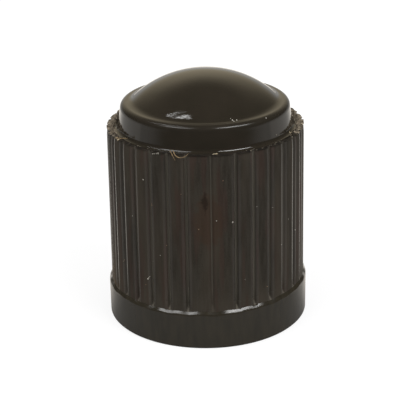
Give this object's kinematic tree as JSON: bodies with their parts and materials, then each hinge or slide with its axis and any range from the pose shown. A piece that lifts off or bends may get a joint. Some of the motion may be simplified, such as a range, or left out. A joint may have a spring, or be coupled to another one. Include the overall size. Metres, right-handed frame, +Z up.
{
  "type": "tyre valve cap",
  "caption": "Round one-piece moulded cap with a domed crown, a ribbed skirt, a smooth base ring and a blind bore for a tyre valve's thread.",
  "frame": {"origin": "middle of the open mouth, in the plane that the cap stands on", "axes": "+Z up the cap's axis to the top of the dome; -Y is the side that the picture looks at, with the parting line close to it"},
  "size_m": [0.0104, 0.0104, 0.013],
  "materials": {
    "dark_moulded_plastic": "dark brown-black moulded plastic, glossy on crown and ring, dull on the ribbed skirt"
  },
  "bodies": {
    "root": {"valve_cap": "dark_moulded_plastic"}
  },
  "joints": []
}
